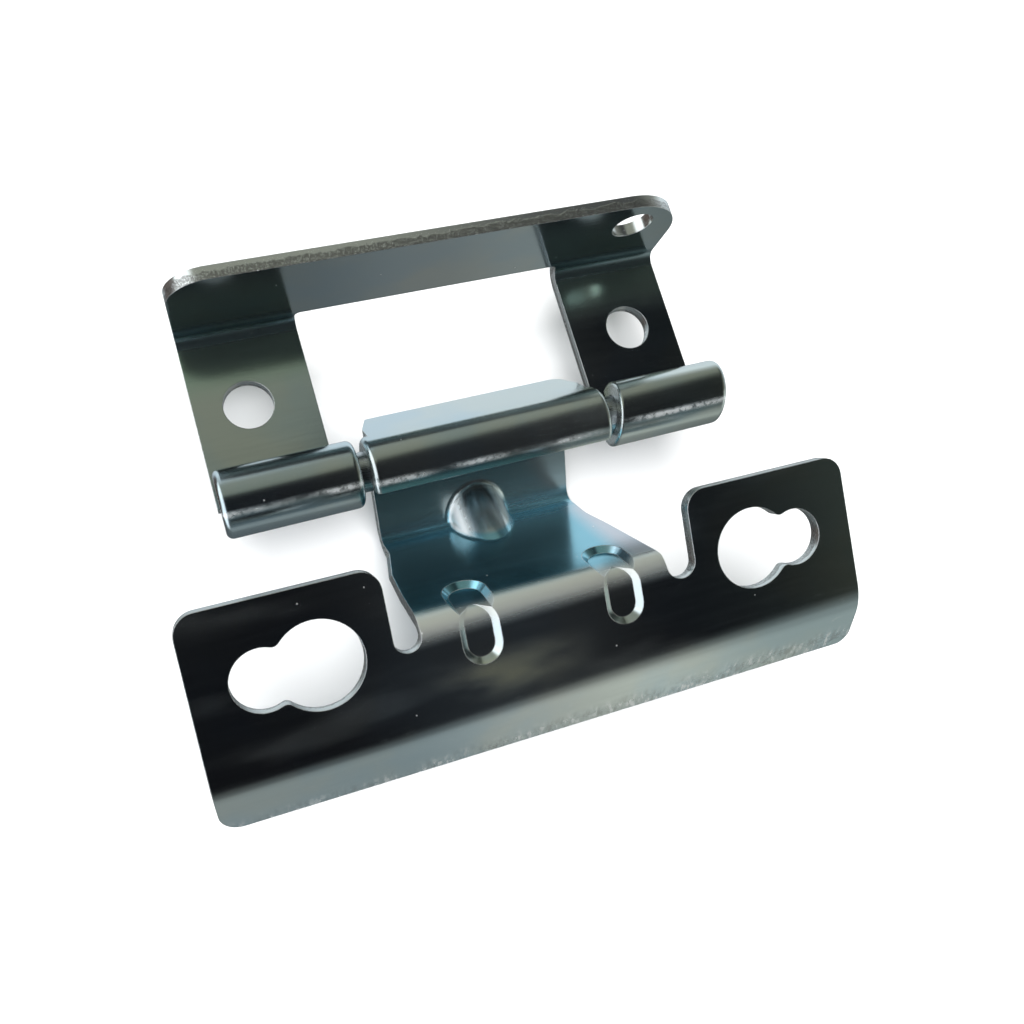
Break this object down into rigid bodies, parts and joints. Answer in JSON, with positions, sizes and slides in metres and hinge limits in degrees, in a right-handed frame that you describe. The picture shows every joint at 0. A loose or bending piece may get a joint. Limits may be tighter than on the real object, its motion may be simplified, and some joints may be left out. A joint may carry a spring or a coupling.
{
  "type": "dryer door hinge",
  "caption": "Folded sheet-metal door hinge: a flanged leaf with knuckles and a window, a pin, and a swinging leaf with a stepped shelf and keyhole plate.",
  "frame": {"origin": "midway between the two leg holes, on the back face of the legs", "axes": "+X along the pin, +Y from the pin to the flange, +Z out of the front of the legs"},
  "size_m": [0.0801, 0.0595, 0.023],
  "materials": {
    "knuckle_leaf": "bright zinc plate",
    "plate_leaf": "bright zinc plate",
    "hinge_pin": "drawn steel"
  },
  "bodies": {
    "fixed_leaf": {"knuckle_leaf": "knuckle_leaf", "hinge_pin": "hinge_pin"},
    "swing_leaf": {"plate_leaf": "plate_leaf"}
  },
  "joints": [
    {"name": "pin_hinge", "type": "hinge", "parent": "fixed_leaf", "child": "swing_leaf", "pos_m": [0, -0.0119, 0.0041], "axis": [1, 0, 0], "range_deg": [-20, 160]}
  ]
}
